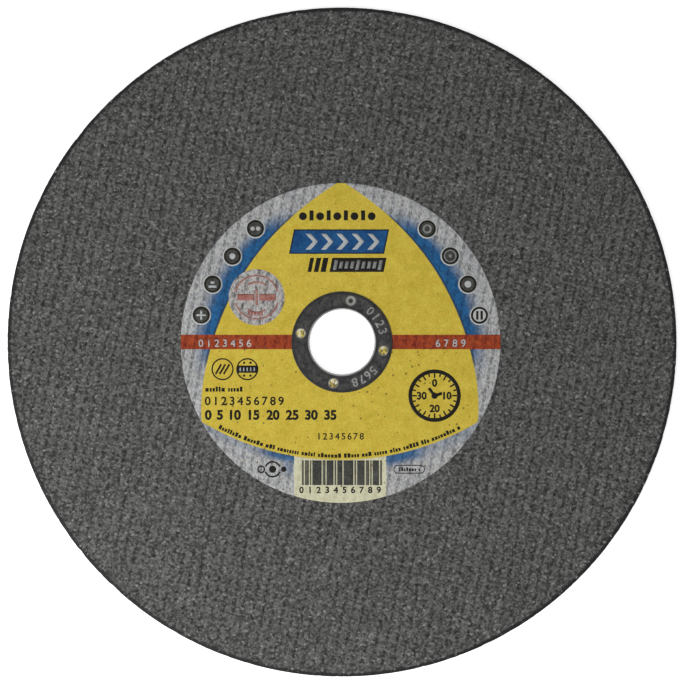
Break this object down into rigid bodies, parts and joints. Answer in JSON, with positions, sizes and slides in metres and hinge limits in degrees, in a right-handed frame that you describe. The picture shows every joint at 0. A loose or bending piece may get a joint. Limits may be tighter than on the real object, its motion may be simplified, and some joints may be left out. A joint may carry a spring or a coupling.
{
  "type": "abrasive cut-off disc",
  "caption": "Flat reinforced abrasive cutting disc for an angle grinder, with glass-fibre nets, a paper label and a pressed steel centre ring.",
  "frame": {"origin": "on the bore axis at the disc's back face", "axes": "+Z along the bore axis, out of the label side; +Y is the picture's up"},
  "size_m": [0.23, 0.23, 0.0023],
  "materials": {
    "abrasive": "matte",
    "glass_net": "satin",
    "label_paper": "satin",
    "ring_steel": "satin"
  },
  "bodies": {
    "root": {"abrasive_core": "abrasive", "front_net_warp": "glass_net", "front_net_weft": "glass_net", "back_net_warp": "glass_net", "back_net_weft": "glass_net", "label": "label_paper", "centre_ring": "ring_steel"}
  },
  "joints": []
}
